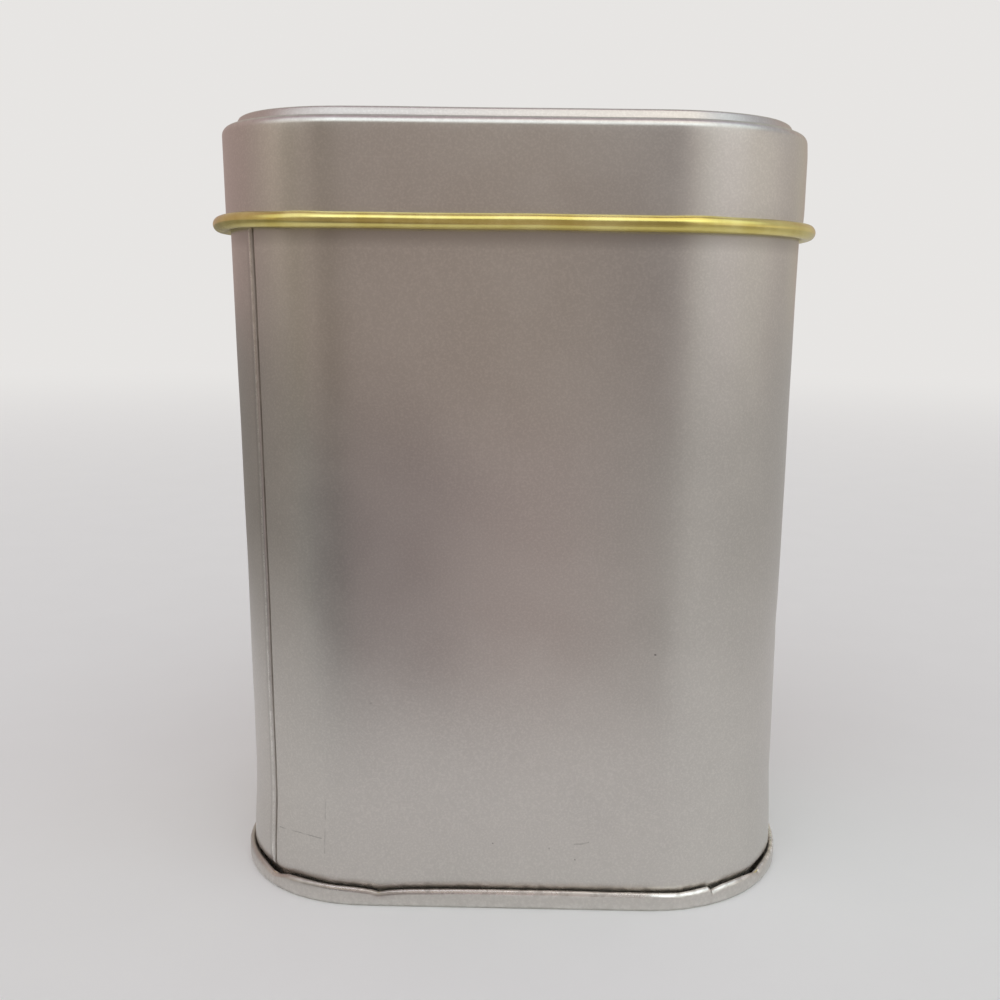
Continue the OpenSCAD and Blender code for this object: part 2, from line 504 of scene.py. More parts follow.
# colour of the painted shade under the lid's rolled edge and on the seam rim, and of the side seam's darker line
SHADE_AND_SEAM_TONE = (0.12, 0.105, 0.09, 1)
MARK = (0.06, 0.05, 0.045, 1)  # pits and scratches in tinplate
LACQUER_PIT = (0.1, 0.07, 0.03, 1)


def new_material(name):
    """A material with its node tree and main shader."""
    material = bpy.data.materials.new(name)
    material.use_nodes = True
    return material, material.node_tree, material.node_tree.nodes.get("Principled BSDF")


def tinted(colour, factors):
    """A colour taken lighter or darker by a factor for each of red, green and blue, as a shader's RGBA."""
    return tuple(min(1, c * f) for c, f in zip(colour, factors)) + (1,)


def tinplate_material(name, colours, grain=0.00028, bump_depth=0.0000045, specks=0.25, dull=0.0, scratches=()):
    """Satin tinplate with grain, cloudy tone, specks, worn bends, painted light and painted highlights at the seam
    rim, painted shade under the lid's rolled edge and on the seam rim, a darker side-seam line, and any named
    scratches.
    """
    found = bpy.data.materials.get(name)
    if found:
        return found
    material, tree, shader = new_material(name)
    surface = effect(tree, "Satin grain", grain_size=grain, cloud_size=0.011)
    pits = effect(tree, "Specks", spacing=0.007, radius=0.00016, share=specks)["Mask"]
    worn_and_lit = effect(tree, "Worn edges and painted light", amount=0.8)["Mask"]
    base, darker, brighter = (tinted(colours.tinplate, (factor,) * 3) for factor in (1, 0.965, 1.32))
    tone = mix(tree, between(tree, surface["Cloud"], 0.35, 0.65), darker, base)
    tone = mix(tree, maths(tree, "MULTIPLY", surface["Sparkle"], 0.33), tone, brighter)
    # bright at worn bends, and painted light and painted highlights where the pieces store them
    tone = mix(tree, maths(tree, "MULTIPLY", worn_and_lit, 0.8), tone, WORN_AND_LIT_TIN)
    marks = maths(tree, "MULTIPLY", pits, 0.75)
    for start, end, width, strength in scratches:
        line = effect(tree, "Scratch", start=start, end=end, width=width)["Mask"]
        marks = maths(tree, "MAXIMUM", marks, maths(tree, "MULTIPLY", line, strength))
    # painted shade under the lid's rolled edge and on the seam rim, and the side seam's darker line, from the
    # mesh, broken up by the grain
    shade_and_seam_mask = add(tree, "ShaderNodeAttribute", attribute_name="painted_shade_and_seam_line").outputs["Fac"]
    shade_and_seam_mask = maths(tree, "MULTIPLY", shade_and_seam_mask, between(tree, surface["Height"], 0.2, 0.6, 0.6, 1.0))
    tone = mix(tree, maths(tree, "MULTIPLY", shade_and_seam_mask, 0.4), tone, SHADE_AND_SEAM_TONE)
    tone = mix(tree, marks, tone, MARK)
    rough = colours.tinplate_roughness + dull
    roughness = between(tree, surface["Cloud"], 0.3, 0.7, rough - 0.015, rough + 0.02)
    roughness = maths(tree, "SUBTRACT", roughness, maths(tree, "MULTIPLY", worn_and_lit, 0.08))
    height = maths(tree, "SUBTRACT", surface["Height"], maths(tree, "MULTIPLY", marks, 2.0))
    tree.links.new(tone, shader.inputs["Base Color"])
    tree.links.new(roughness, shader.inputs["Roughness"])
    shader.inputs["Metallic"].default_value = 1.0
    relief = add(tree, "ShaderNodeBump", {"Height": height, "Strength": 1.0, "Distance": bump_depth})
    tree.links.new(relief.outputs["Normal"], shader.inputs["Normal"])
    return material


def lacquer_material(name, colours, roughness=0.22):
    """Gold lacquer over tinplate, with slight unevenness, and paler at worn high spots and where a piece stores
    painted light.
    """
    found = bpy.data.materials.get(name)
    if found:
        return found
    material, tree, shader = new_material(name)
    surface = effect(tree, "Satin grain", grain_size=0.00035, cloud_size=0.006)
    pits = effect(tree, "Specks", spacing=0.006, radius=0.00012, share=0.2)["Mask"]
    # paler where a piece stores bend: at worn high spots, and also where it stores painted light
    worn_and_lit = effect(tree, "Worn edges and painted light", amount=0.5)["Mask"]
    base = tinted(colours.lacquer, (1, 1, 1))
    deeper = tinted(colours.lacquer, (0.84, 0.8, 0.62))
    paler = tinted(colours.lacquer, (1.2, 1.22, 1.5))
    tone = mix(tree, between(tree, surface["Cloud"], 0.35, 0.65), deeper, base)
    tone = mix(tree, maths(tree, "MULTIPLY", worn_and_lit, 0.5), tone, paler)
    tone = mix(tree, maths(tree, "MULTIPLY", pits, 0.5), tone, LACQUER_PIT)
    tree.links.new(tone, shader.inputs["Base Color"])
    rough = between(tree, surface["Cloud"], 0.3, 0.7, roughness - 0.04, roughness + 0.05)
    tree.links.new(rough, shader.inputs["Roughness"])
    shader.inputs["Metallic"].default_value = 1.0
    relief = add(tree, "ShaderNodeBump", {"Height": surface["Height"], "Strength": 1.0, "Distance": 0.0000025})
    tree.links.new(relief.outputs["Normal"], shader.inputs["Normal"])
    return material


# ---------------------------------------------------------------- the pieces


def tin_settings():
    """The sizes and colours that the user can change."""
    scene = bpy.context.scene
    return scene.spice_tin_sizes, scene.spice_tin_colours


def nearest_s(plan, piece):
    """The place round the plan nearest to each vertex."""
    places = np.arange(0, plan.length, 0.1)
    tree = kdtree.KDTree(len(places))
    for k, (x, y) in enumerate(plan.frame(places)[0]):
        tree.insert((x, y, 0), k)
    tree.balance()
    return places[[tree.find((v.co.x / MM, v.co.y / MM, 0))[1] for v in piece.data.vertices]]


def store(piece, name, measure):
    """Writes a value on each vertex, by its place in mm, for the materials to use; 1 is full strength."""
    spots = np.array([v.co[:] for v in piece.data.vertices]) / MM
    layer = piece.data.attributes.new(name, "FLOAT", "POINT")
    layer.data.foreach_set("value", np.clip(measure(spots), 0, 3).astype(np.float32))


def mouth_height(sizes):
    """Height of the top of the wall's rolled mouth, at the middle of its sheet, in mm."""
    ledge_top = (sizes.tin_h - sizes.panel_step) / MM
    return ledge_top - SHEET - SEAT_GAP - MOUTH_BEND - HALF


def at_side(plan, s):
    """1 on the sides and the corners' side halves, 0 on the front and back."""
    return smooth(np.abs(plan.frame(s)[1][:, 0]), 0.3, 0.85)


def right_swell(plan, s):
    """The right side stands out a little more than the left."""
    here = plan.signed(s)
    return 0.12 * smooth(here, 20, 38) * smooth(here, 100, 70)


# Relief of the side seam: (distance past the fold's end, height) in mm, on the wall's outer and inner face
SEAM_OUTER = (
    (-3.2, 0), (-1.3, 0), (-0.72, 0.02), (-0.52, 0.11), (-0.38, 0.14), (-0.24, 0.11), (-0.12, 0.02), (-0.03, -0.1),
    (0, -0.22), (0.03, -0.5), (0.17, -0.52), (0.24, -0.4), (0.36, -0.14), (0.55, -0.02), (0.9, 0),
)
SEAM_INNER = (
    (-3.35, 0), (-3.1, -0.35), (-2.95, -0.7), (-2.8, -0.8), (-0.1, -0.8), (0.1, -0.75), (0.3, -0.42), (0.5, -0.1),
    (0.7, 0),
)


def from_table(value, table):
    """A value read off a table of (place, value) pairs, straight from each to the next."""
    return np.interp(value, *zip(*table))


class TIN_OT_wall(bpy.types.Operator):
    """Builds the wall: one sheet rolled round the plan, with its side seam, rolled mouth and foot hook"""

    bl_idname = "spice_tin.wall"
    bl_label = "Wall"

    def execute(self, context):
        sizes, colours = tin_settings()
        plan = Plan(sizes)
        seam = -plan.corner(90 - math.degrees(sizes.seam_place))
        mouth = mouth_height(sizes)
        foot = SHEET + HALF
        rim_x = SEAM_OUT - HALF
        hook_x = rim_x - FOLD_BEND
        seam_top = sizes.seam_h / MM
        points = path((-HALF - MOUTH_BEND, mouth - MOUTH_BEND, 180), [
            (0, -270, MOUTH_BEND),
            (mouth - foot - FLANGE_BEND, 90, FLANGE_BEND),
            (hook_x + HALF - 2 * FLANGE_BEND, 90, FLANGE_BEND),
            (seam_top - 0.8 - foot - FLANGE_BEND, 0, 0),
        ], longest_run=1.2)
        outer, inner = sheet_faces(points)
        profile = np.concatenate([outer, inner])
        inner_from = len(outer)
        fine = seam + np.concatenate([np.arange(-3.7, -0.9, 0.2), np.arange(-0.9, 1.2, 0.035)])
        places = plan.stations(1.0, fine)
        seam_low, seam_high = 3.0, mouth - 1.5

        def past_seam(beside, z):
            """Distance past the fold's end, in mm; the seam leans a little."""
            return beside - SEAM_LEAN * (z / mouth - 0.45)

        def shift(s, u, z, k):
            """The wall's bow, its flare into the seam rim, dents, slow waves and side seam."""
            here = plan.signed(s)
            bow = 0.15 * smooth(z, 2.1, 3) - 0.2 * np.sin(np.clip(z / mouth, 0, 1) * math.pi) ** 0.8
            bow += right_swell(plan, s) * smooth(z, 3, 12)
            flare = (0.3 + 0.25 * at_side(plan, s)) * smooth(z, 2.1, 2.75) * smooth(z, 15, 3)
            dents = sum(
                -depth * bump(here, plan.corner(angle), 2.6) * bump(z, height, tall)
                for angle, height, depth, tall in WALL_DENTS
            )
            slow = ripple(s, z, plan.length, 0.045, 11) + ripple(s, z, plan.length, 0.012, 12, shortest=7)
            held = smooth(z, 3, 9) * smooth(mouth - z, 1.5, 8)
            du = bow + flare + dents + slow * held
            relief = from_table(past_seam(plan.signed(s - seam), z), SEAM_OUTER if k < inner_from else SEAM_INNER)
            in_seam = smooth(z, seam_low, seam_low + 0.5) * smooth(seam_high - z, 0, 0.5)
            return du + relief * in_seam, np.zeros(len(s))

        def on_face(place):
            """The point of the wall's outer face at a place (s, height), in metres."""
            s, z = np.array([place[0]]), np.array([place[1]])
            point, normal = plan.frame(s)
            flat = point + normal * shift(s, 0 * s, z, 0)[0][:, None]
            return tuple(np.append(flat[0], place[1]) * MM)

        scratches = [
            (on_face(start), on_face(end), width * MM, strength)
            for places_along, width, strength in WALL_MARKS
            for start, end in zip(places_along, places_along[1:])
        ]
        silver = tinplate_material("Satin tinplate wall", colours, scratches=scratches)
        gold = lacquer_material("Gold lacquer inside", colours, roughness=0.3)
        slots = [0] * (inner_from) + [1] * (len(profile) - inner_from)
        piece = grid_mesh("wall", sweep(plan, places, profile, shift), True, slots, [silver, gold])
        seam_spot, seam_out = plan.frame(np.array([seam % plan.length]))

        def from_seam(spots):
            """The same for the mesh's vertices, and far off anywhere but in the seam."""
            beside = (spots[:, :2] - seam_spot[0]) @ np.array([-seam_out[0, 1], seam_out[0, 0]])
            far = np.hypot(*(spots[:, :2] - seam_spot[0]).T)
            in_seam = (far < 4) & (spots[:, 2] > seam_low) & (spots[:, 2] < seam_high)
            return np.where(in_seam, past_seam(beside, spots[:, 2]), 9)

        def near(spots):
            """Where the tinplate is made bright: painted light on the foot in the seam rim, so that the crevice
            there is less dark; the mouth, worn bright; and a lighter line along the side seam's fold.
            """
            z = spots[:, 2]
            # painted light: the wall's foot by the seam rim made bright, against the shade of the crevice there
            foot = PAINTED_LIGHT_FULL * smooth(z, seam_top + 0.3, seam_top - 0.1)
            ends = np.maximum(foot, smooth(z, mouth - 0.3, mouth + 0.3))
            return np.maximum(bump(from_seam(spots), -0.36, 0.2), ends)

        def shade_and_seam_lines(spots):
            """Painted shade in a line on the wall under the rolled edge, and a darker line in the side seam's
            groove and at the foot of its ridge.
            """
            under = sizes.roll_z / MM - sizes.roll_d / MM / 2 - spots[:, 2]
            # painted shade on the wall just under the rolled edge
            line = smooth(under, 2.2, 0.2) * smooth(under, -2, -0.4)
            # a darker line in the groove past the side seam's fold, fainter at the foot of its ridge
            groove = bump(from_seam(spots), 0.1, 0.16) + 0.5 * bump(from_seam(spots), -0.95, 0.3)
            return np.maximum(line, groove)

        store(piece, "bend", near)
        store(piece, "painted_shade_and_seam_line", shade_and_seam_lines)
        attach(piece, "tin")
        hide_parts(WALL)
        return {"FINISHED"}


# Soft dents by the right front corner: angle round it from the front, then height, depth and size upward in mm
WALL_DENTS = ((84, 36.5, 0.16, 2.2), (87, 31, 0.12, 1.6))

# Marks on the wall's face: places along each as (distance from the middle of the front, height), its half-width
# and its strength, in mm
WALL_MARKS = (
    (((-17.92, 28.94), (-17.86, 28.80)), 0.22, 1.0),
    (((19.37, 36.11), (19.45, 36.09)), 0.17, 0.85),
    (((-32.6, 8.75), (-30.7, 8.9), (-28.9, 9.05), (-27.2, 9.02), (-25.2, 8.9)), 0.1, 0.4),
    (((-24.5, 14.6), (-24.6, 10.7), (-24.77, 6.8)), 0.1, 0.25),
    (((9.3, 9.2), (10.3, 9.25), (11.2, 9.5)), 0.13, 0.35),
    (((5.89, 8.55), (5.91, 8.45)), 0.13, 0.7),
    (((9.4, 6.98), (9.44, 6.95)), 0.12, 0.7),
    (((-1.75, 9.1), (-1.7, 9.06)), 0.12, 0.6),
)

# Dips of the seam rim's top edge round the front, where the seaming rollers marked it: (distance, drop) in mm
RIM_DIPS = (
    (-48, 0.1), (-38, 0.08), (-36.2, 0.2), (-34.5, 0.62), (-33.4, 0.85), (-32.4, 0.8), (-31.4, 0.5), (-30.4, 0.16),
    (-28.4, 0.04), (-26, 0.08), (-23.9, 0.14), (-22.3, 0.15), (-20.7, 0.2), (-19.1, 0.39), (-18.3, 0.53),
    (-17.5, 0.76), (-17.2, 0.8), (-16.7, 0.73), (-15.9, 0.58), (-14.2, 0.42), (-12.6, 0.32), (-9.4, 0.22),
    (-6.1, 0.15), (-2.8, 0.11), (3.7, 0.11), (10.2, 0.12), (13.4, 0.17), (19.9, 0.2), (23, 0.34), (23.7, 0.38),
    (24.4, 0.29), (25.7, 0.18), (27.1, 0.06), (27.5, 0.05), (27.85, 0.35), (28.1, 0.72), (28.4, 0.6), (29.4, 0.37),
    (30.2, 0.24), (31.6, 0.18), (32.9, 0.24), (34, 0.35), (35.1, 0.54), (36.2, 0.78), (36.8, 1.0), (37.2, 1.0),
    (37.6, 0.7), (38.4, 0.5), (39.6, 0.35), (41.5, 0.25), (45.6, 0.28), (46.3, 0.1), (48, 0.05),
)
RIM_NICKS = (28.0, 37.0, 46.0)  # where the rim's edge is pinched into a short crease


def rim_drop(plan, s):
    """How far the seam rim's top edge dips, in mm. The rollers leave the same marks front and back."""
    at, drop = zip((-plan.length / 4, 0), *RIM_DIPS, (plan.length / 4, 0))
    return np.interp(half_turn(plan, s), at, drop)


def half_turn(plan, s):
    """s counted from the middle of the front or the back, whichever is nearer."""
    return (np.asarray(s) + plan.length / 4) % (plan.length / 2) - plan.length / 4


class TIN_OT_base(bpy.types.Operator):
    """Builds the base end: a recessed panel whose edge is folded over the wall's foot into a seam rim"""

    bl_idname = "spice_tin.base"
    bl_label = "Base end"

    def execute(self, context):
        sizes, colours = tin_settings()
        plan = Plan(sizes)
        seam_top = sizes.seam_h / MM
        rim_x = SEAM_OUT - HALF
        countersink_x = -SHEET - COUNTERSINK_GAP - HALF
        middle = 2.25 - HALF
        points = path((-PANEL_OVERLAP, middle, 0), [
            (countersink_x - PANEL_BEND + PANEL_OVERLAP, -90, PANEL_BEND),
            (middle - PANEL_BEND - HALF - FLANGE_BEND, 90, FLANGE_BEND),
            (rim_x - RIM_BEND - countersink_x - FLANGE_BEND, 90, RIM_BEND),
            (seam_top - FOLD_BEND - SHEET - RIM_BEND, 180, FOLD_BEND),
            (seam_top - FOLD_BEND - HALF - 0.98, 0, 0),
        ], longest_run=0.5)
        inside, outside = sheet_faces(points)
        profile = np.concatenate([inside, outside])
        nicks = [n + step for n in RIM_NICKS for step in np.arange(-0.5, 0.5, 0.08)]
        nicks += [n + plan.length / 2 for n in nicks]
        places = plan.stations(0.35, nicks)

        def shift(s, u, z, k):
            """The seam rim's dipped top edge, uneven face, barrel and squeezed fold."""
            drop = rim_drop(plan, s)
            on_rim = smooth(u, 0.1, 0.4)
            dz = -drop * on_rim * smooth(z, 1.0, seam_top - 0.3)
            crease = np.abs(np.gradient(drop, edge_order=1))
            wobble = ripple(s, z, plan.length, 0.05, 21, waves=7, shortest=6)
            du = on_rim * (-0.1 * drop - 0.035 + np.clip(wobble, -0.03, 0.03)) * smooth(z, 0.5, 1.6)
            du = du - on_rim * 0.05 * np.clip(crease * 6, 0, 1) * smooth(z, 1.0, 2.0)
            du = du - 0.07 * ((z - 1.6) / 1.1) ** 2 * smooth(u, 1.2, 1.4)
            thinner = (0.15 + 0.22 * at_side(plan, s)) * (SEAM_OUT - u) / SEAM_OUT
            return du + thinner * smooth(z, 1.9, 2.45) * smooth(u, 0.1, 0.4), dz

        silver = tinplate_material(
            "Satin tinplate base", colours, grain=0.00045, bump_depth=0.000006, specks=0.5, dull=0.03)
        gold = lacquer_material("Gold lacquer inside", colours, roughness=0.3)
        rings = sweep(plan, places, profile, shift)

        def lift(flat, part):
            """A slight waviness of the recessed panel."""
            return 0.03 * np.sin(flat[:, 0] / 9) * np.sin(flat[:, 1] / 7 + 1) * min(1, 3 * part)

        caps = [
            (0, panel_rings(plan, rings[0], 14, lift), 1, True),
            (len(rings) - 1, panel_rings(plan, rings[-1], 14, lift), 0, False),
        ]
        slots = [1] * (len(inside) - 1) + [0] * (len(profile) - len(inside) + 1)
        piece = grid_mesh("base", rings, False, slots, [silver, gold], caps)
        nearest = nearest_s(plan, piece)

        def painted_crease_shade(spots):
            """Painted shade at the pinched nicks' creases and on the left end of the fold."""
            here, z = half_turn(plan, nearest), spots[:, 2]
            # painted shade down the crease of each pinched nick
            near_nick = sum(bump(here, n, 0.16) for n in RIM_NICKS)
            # painted shade on the left end of the fold, where less light falls
            left_end_shade = 0.5 * smooth(here, -22, -27) * smooth(z, 1.6, 2.2)
            return np.maximum(0.9 * near_nick * smooth(z, 1.2, 2.0), left_end_shade)

        def near(spots):
            """Where the seam rim is made bright: a painted highlight on its fold, held back at the left end, which
            is in painted shade; and a lighter band on the edge that it stands on, partly worn bright and partly
            painted light in place of the floor's reflection.
            """
            z = spots[:, 2]
            # painted highlight on the fold's top, and painted light in the crevice beside it
            fold = PAINTED_LIGHT_FULL * smooth(z, seam_top - 0.75, seam_top - 0.4)
            # held back at the left end, which is kept dark as painted shade
            held = smooth(half_turn(plan, nearest), -30, -21)
            # a lighter band on the bottom edge: worn bright where it stands, and painted light in place of the
            # bright floor's reflection
            return np.maximum(fold * held, 0.4 * smooth(z, 1.15, 0.8))

        store(piece, "bend", near)
        store(piece, "painted_shade_and_seam_line", painted_crease_shade)
        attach(piece, "tin")
        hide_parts(BASE)
        return {"FINISHED"}


def roll_drift(plan, s):
    """How far the rolled edge wanders up or down round the lid, in mm."""
    here = plan.signed(s)
    lifted = 0.16 * bump(here, -plan.corner(45), 6) + 0.07 * bump(here, 5, 9)
    return lifted + ripple(s, np.zeros(len(s)), plan.length, 0.03, 31, waves=6, shortest=14)


class TIN_OT_lid(bpy.types.Operator):
    """Builds the lid: one drawn sheet with a skirt, shoulder, ledge and raised panel"""

    bl_idname = "spice_tin.lid"
    bl_label = "Lid"

    def execute(self, context):
        sizes, colours = tin_settings()
        plan = Plan(sizes)
        top, step = sizes.tin_h / MM, sizes.panel_step / MM
        turn = math.radians(STEP_TURN)
        slope = jog_run(step, turn, STEP_BEND)
        edge = -sizes.panel_inset / MM
        ledge_start = edge + 2 * STEP_BEND * math.sin(turn) + slope * math.cos(turn)
        skirt_x = LID_GAP + HALF
        roll_z = sizes.roll_z / MM
        points = path((edge - PANEL_OVERLAP, top - HALF, 0), [
            (PANEL_OVERLAP, -STEP_TURN, STEP_BEND),
            (slope, STEP_TURN, STEP_BEND),
            (skirt_x - SHOULDER_BEND - ledge_start, -90, SHOULDER_BEND),
            (top - step - HALF - SHOULDER_BEND - roll_z, 0, 0),
        ], longest_run=0.8)
        outside, inside = sheet_faces(points)
        profile = np.concatenate([outside, inside])
        places = plan.stations(0.9)

        def shift(s, u, z, k):
            """The skirt's slow waves and swell, the ledge's sag, and the drift at the skirt's end."""
            low = smooth(z, roll_z + 5, roll_z)
            slow = ripple(s, z, plan.length, 0.03, 41)
            upright = smooth(z, top - step - 0.6, top - step - 3) * smooth(z, roll_z, roll_z + 3)
            ledge = smooth(u, -0.3, -1.2)
            sag = 0.03 + np.abs(ripple(s, u, plan.length, 0.05, 42, shortest=25))
            dz = roll_drift(plan, s) * low - sag * ledge
            return (slow + right_swell(plan, s)) * upright, dz

        silver = tinplate_material("Satin tinplate lid", colours)
        gold = lacquer_material("Gold lacquer inside", colours, roughness=0.3)
        rings = sweep(plan, places, profile, shift)

        def lift(flat, part):
            """A slight dish in the raised panel."""
            dish = 0.05 * np.sin(flat[:, 0] / 11 + 0.6) * np.cos(flat[:, 1] / 8)
            return (dish - 0.06) * smooth(part, 0, 0.35)

        caps = [
            (0, panel_rings(plan, rings[0], 16, lift), 0, True),
            (len(rings) - 1, panel_rings(plan, rings[-1], 16, lift), 1, False),
        ]
        slots = [0] * len(outside) + [1] * (len(profile) - len(outside))
        piece = grid_mesh("lid", rings, False, slots, [silver, gold], caps)

        def near(spots):
            """The shoulder and the edge of the raised panel."""
            z = spots[:, 2]
            shoulder = bump(z, top - step - 0.4, 0.5)
            panel_edge = smooth(z, top - 0.35, top - 0.05) * smooth(z, top, top - 0.12)
            return np.maximum(shoulder * 0.35, panel_edge * 0.7)

        store(piece, "bend", near)
        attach(piece, "lid")
        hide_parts(LID)
        return {"FINISHED"}


class TIN_OT_rolled_edge(bpy.types.Operator):
    """Builds the lid's rolled edge: the skirt's end curled outward, gold side out"""

    bl_idname = "spice_tin.rolled_edge"
    bl_label = "Rolled edge"

    def execute(self, context):
        sizes, colours = tin_settings()
        plan = Plan(sizes)
        roll_z, thick = sizes.roll_z / MM, sizes.roll_d / MM
        radius = (thick - SHEET) / 2
        skirt_x = LID_GAP + HALF
        points = path((skirt_x, roll_z, -90), [(0, 315, radius)])
        silver_side, gold_side = sheet_faces(points)
        profile = np.concatenate([silver_side, gold_side])
        places = plan.stations(0.5)
        middle = skirt_x + radius

        def shift(s, u, z, k):
            """The rolled edge's pinches at the corners, uneven thickness and drift."""
            here = plan.signed(s)
            pinch = 1 + 0.1 * bump(here, -plan.corner(14), 2.2) + 0.08 * bump(here, plan.corner(9), 2.6)
            pinch += 0.5 * ripple(s, np.zeros(len(s)), plan.length, 0.05, 51, waves=6, shortest=9)
            pinch = np.where(z > roll_z, pinch, 1)
            out = smooth(u, skirt_x, middle)
            du = -0.05 * out * np.abs(ripple(s, np.zeros(len(s)), plan.length, 1.0, 52, waves=6, shortest=12))
            return np.minimum(du, 0), (z - roll_z) * (pinch - 1) * out + roll_drift(plan, s)

        silver = tinplate_material("Satin tinplate lid", colours)
        gold = lacquer_material("Gold lacquer edge", colours)
        slots = [0] * len(silver_side) + [1] * len(gold_side)
        piece = grid_mesh("rolled_edge", sweep(plan, places, profile, shift), True, slots, [silver, gold])
        store(piece, "bend", lambda spots: 0.8 * smooth(spots[:, 2], roll_z + thick * 0.2, roll_z + thick * 0.5))
        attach(piece, "lid")
        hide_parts(ROLL)
        return {"FINISHED"}


# ---------------------------------------------------------------- stage: floor, light and camera


# Broad soft lights round the tin: (azimuth, elevation, outer and inner half-angle in degrees), colour.
# Azimuth 0 is in front, positive to the right.
SOFT_LIGHTS = (
    (0, 89, 60, 15, (0, 0.002, 0.085)),
    (30, 6, 15, 2, (0.209, 0.278, 0.259)),
    (42, 6, 15, 2, (0.21, 0.222, 0.238)),
    (54, 6, 15, 2, (0.254, 0.282, 0.288)),
    (66, 6, 15, 2, (0.21, 0.241, 0.222)),
    (78, 6, 15, 2, (0.212, 0.251, 0.226)),
    (90, 6, 15, 2, (0.215, 0.25, 0.228)),
    (104, 6, 15, 2, (0.106, 0.128, 0.122)),
    (122, 6, 24, 3, (0.079, 0.132, 0.122)),
    (145, 6, 24, 3, (0.079, 0.112, 0.066)),
    (-42, 6, 24, 3, (0.024, 0.035, 0.007)),
    (-60, 6, 24, 3, (0.112, 0.101, 0.061)),
    (-78, 6, 24, 3, (0.024, 0.042, 0.025)),
    (180, 6, 24, 3, (0.063, 0.066, 0.028)),
    (0, 42, 38, 8, (0.744, 0.919, 0.949)),
    (50, 42, 38, 8, (0.623, 0.776, 0.778)),
    (-50, 42, 38, 8, (0.572, 0.685, 0.692)),
    (100, 42, 38, 8, (0.052, 0.156, 0.194)),
    (180, 42, 38, 8, (0.006, 0.155, 0.096)),
)
ROOM_GLOW = (0.484, 0.374, 0.348)
BACKDROP = (0.80, 0.785, 0.77)
FLOOR_REACH, FLOOR_SIDES = 4, 96  # the floor is a wide many-sided disc
FAR_FLOOR = ((0.268, 0.25, 0.232), (0.487, 0.473, 0.462))  # the floor far off in reflections, left and right

# A dim card in front of the tin that only its reflections show: edges in metres, then a colour for each cell
CARD_Y = -0.105
CARD_X = (-0.17, -0.11, -0.075, -0.045, -0.015, 0.015, 0.045)
CARD_Z = (0.0, 0.055, 0.14)
CARD_GLOW = (
    (0.269, 0.265, 0.253),
    (0.226, 0.213, 0.212),
    (0.199, 0.183, 0.181),
    (0.266, 0.222, 0.226),
    (0.452, 0.377, 0.366),
    (0.398, 0.378, 0.368),
    (0.366, 0.311, 0.25),
    (0.427, 0.356, 0.311),
    (0.279, 0.228, 0.19),
    (0.395, 0.328, 0.297),
    (0.403, 0.34, 0.303),
    (0.313, 0.277, 0.269),
)

# A bright card overhead, for the thin glints on bends: azimuth, elevation, distance, half its side, colour
OVERHEAD = (24, 66, 0.8, 0.17, (1.5, 1.44, 1.36))


def toward(azimuth, elevation):
    """The unit vector from the tin towards a place round it, in degrees."""
    round_it, up = math.radians(azimuth), math.radians(elevation)
    return (math.sin(round_it) * math.cos(up), -math.cos(round_it) * math.cos(up), math.sin(up))


def plain_object(name, points, faces, material):
    """An object of the stage, from points and faces."""
    mesh = bpy.data.meshes.new(name)
    mesh.from_pydata(points, [], faces)
    mesh.materials.append(material)
    made = bpy.data.objects.new(name, mesh)
    bpy.context.scene.collection.objects.link(made)
    return made


def make_floor(colours):
    """A wide pale floor that fades into the backdrop far away, and is dimmer there in reflections."""
    material, tree, shader = new_material("Pale floor")
    where = add(tree, "ShaderNodeTexCoord").outputs["Object"]
    uneven = add(tree, "ShaderNodeTexNoise", {"Vector": where, "Scale": 60.0, "Detail": 4.0}).outputs["Fac"]
    dim = tuple(c * 0.97 for c in colours.floor) + (1,)
    tree.links.new(mix(tree, uneven, dim, (*colours.floor, 1)), shader.inputs["Base Color"])
    shader.inputs["Roughness"].default_value = 0.7
    away = add(tree, "ShaderNodeVectorMath", {0: where}, operation="LENGTH").outputs["Value"]
    rays = add(tree, "ShaderNodeLightPath").outputs
    across = add(tree, "ShaderNodeSeparateXYZ", {"Vector": where}).outputs["X"]
    left, right = ((*colour, 1) for colour in FAR_FLOOR)
    dim_glow = mix(tree, between(tree, across, -0.12, 0.12), left, right)
    surface = shader.outputs["BSDF"]
    fades = (("Is Camera Ray", 0.12, 1.1, (*BACKDROP, 1)), ("Is Glossy Ray", 0.07, 0.25, dim_glow))
    for ray, near, far, colour in fades:
        fade = maths(tree, "MULTIPLY", between(tree, away, near, far), rays[ray])
        glow = add(tree, "ShaderNodeEmission", {"Color": colour}).outputs["Emission"]
        surface = add(tree, "ShaderNodeMixShader", {0: fade, 1: surface, 2: glow}).outputs["Shader"]
    tree.links.new(surface, tree.nodes["Material Output"].inputs["Surface"])
    turns = [2 * math.pi * k / FLOOR_SIDES for k in range(FLOOR_SIDES)]
    edge = [(FLOOR_REACH * math.cos(turn), FLOOR_REACH * math.sin(turn), 0) for turn in turns]
    plain_object("floor", edge, [tuple(range(FLOOR_SIDES))], material)


def glossy_card(name, points, faces, cells):
    """A glowing card seen by reflections alone, with a colour for each face."""
    material, tree, _ = new_material(name)
    tree.nodes.clear()
    colour = add(tree, "ShaderNodeAttribute", attribute_name="glow").outputs["Color"]
    glow = add(tree, "ShaderNodeEmission", {"Color": colour})
    add(tree, "ShaderNodeOutputMaterial", {"Surface": glow.outputs["Emission"]})
    card = plain_object(name, points, faces, material)
    layer = card.data.attributes.new("glow", "FLOAT_COLOR", "CORNER")
    layer.data.foreach_set("color", [value for cell in cells for value in (*cell, 1) * 4])
    card.visible_camera = card.visible_diffuse = card.visible_shadow = card.visible_transmission = False


